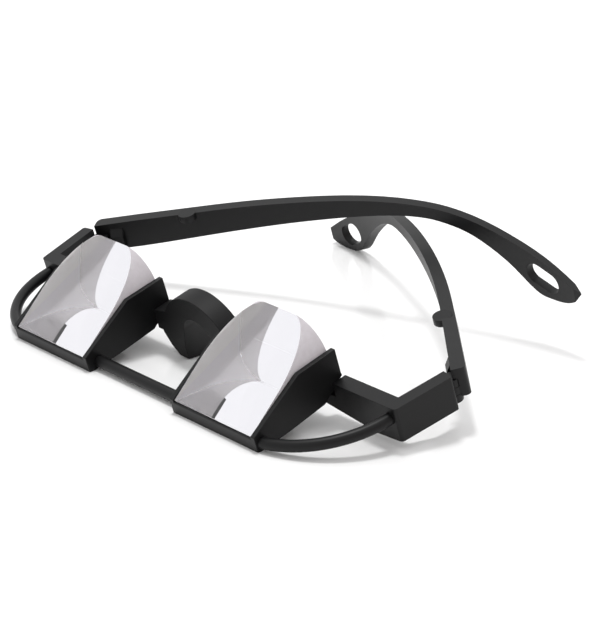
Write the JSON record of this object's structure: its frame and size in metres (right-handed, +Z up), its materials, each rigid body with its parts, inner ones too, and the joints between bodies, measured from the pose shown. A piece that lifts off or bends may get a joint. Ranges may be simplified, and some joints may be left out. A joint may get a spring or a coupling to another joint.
{
  "type": "belay glasses",
  "caption": "Belay glasses with mirror-backed prisms in open black cradles, a nose saddle, curved guard bars and folding temples with cord eyelets.",
  "frame": {"origin": "middle of the bounding box in plan, on the surface the glasses lie on", "axes": "+X to the right as seen from the front (the wearer's left), +Y back along the temples, +Z up; the frame leans back 16.75 degrees on its cradle lips, so the hinge axes lean with it"},
  "size_m": [0.1408, 0.1111, 0.0323],
  "materials": {
    "black_plastic": "near-black injection-moulded plastic, satin",
    "prism_glass": "clear polished optical glass",
    "mirror_layer": "silvered back of the prism's base",
    "bond_pad": "black bonding layer",
    "saddle_rubber": "matt black soft rubber",
    "hinge_steel": "plain steel screw",
    "insert_brass": "turned brass"
  },
  "bodies": {
    "front": {"left_cradle": "black_plastic", "right_cradle": "black_plastic", "left_prism": "prism_glass", "right_prism": "prism_glass", "left_mirror_coat": "mirror_layer", "right_mirror_coat": "mirror_layer", "left_bond_pad": "bond_pad", "right_bond_pad": "bond_pad", "front_bar": "black_plastic", "left_guard_bar": "black_plastic", "right_guard_bar": "black_plastic", "left_end_piece": "black_plastic", "right_end_piece": "black_plastic", "nose_saddle": "saddle_rubber", "left_hinge_screw": "hinge_steel", "right_hinge_screw": "hinge_steel", "left_hinge_insert": "insert_brass", "right_hinge_insert": "insert_brass"},
    "left_arm": {"left_temple": "black_plastic"},
    "right_arm": {"right_temple": "black_plastic"}
  },
  "joints": [
    {"name": "left_temple_fold", "type": "hinge", "parent": "front", "child": "left_arm", "pos_m": [-0.06671, -0.01355, 0.01039], "axis": [0, 0.2882, -0.9576], "range_deg": [-64.3, 14]},
    {"name": "right_temple_fold", "type": "hinge", "parent": "front", "child": "right_arm", "pos_m": [0.06671, -0.01355, 0.01039], "axis": [0, -0.2882, 0.9576], "range_deg": [-59.31, 12.96]}
  ],
  "couplings": [
    {"joint": "right_temple_fold", "follows": "left_temple_fold", "ratio": 0.9222}
  ]
}
